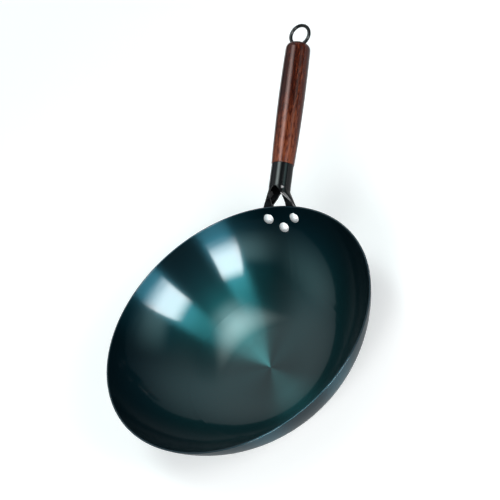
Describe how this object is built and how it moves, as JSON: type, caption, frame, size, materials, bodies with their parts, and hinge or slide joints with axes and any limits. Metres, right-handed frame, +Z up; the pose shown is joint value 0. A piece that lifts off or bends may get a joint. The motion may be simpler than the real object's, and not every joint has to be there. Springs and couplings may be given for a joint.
{
  "type": "wok",
  "caption": "Round wok of carbon steel with a flat base, a riveted black steel bracket and a barrel-shaped wooden grip that ends in a hanging eye.",
  "frame": {"origin": "centre of the underside of the flat base", "axes": "+Z up out of the pan, +X from the middle of the pan towards the handle, +Y to the left of the handle seen from the pan"},
  "size_m": [0.5262, 0.3196, 0.1713],
  "materials": {
    "blued_steel": "seasoned and polished, with rings from spinning",
    "black_lacquer": "gloss",
    "rivet_metal": "satin",
    "lacquered_wood": "gloss lacquer",
    "black_rod": "gloss",
    "plain_steel": "zinc plated"
  },
  "bodies": {
    "root": {"wok_pan": "blued_steel", "handle_bracket": "black_lacquer", "rivets": "rivet_metal", "wooden_grip": "lacquered_wood", "eye_rod": "black_rod", "anchor_disc": "plain_steel", "spring_washer": "plain_steel", "rod_nut": "plain_steel"}
  },
  "joints": []
}
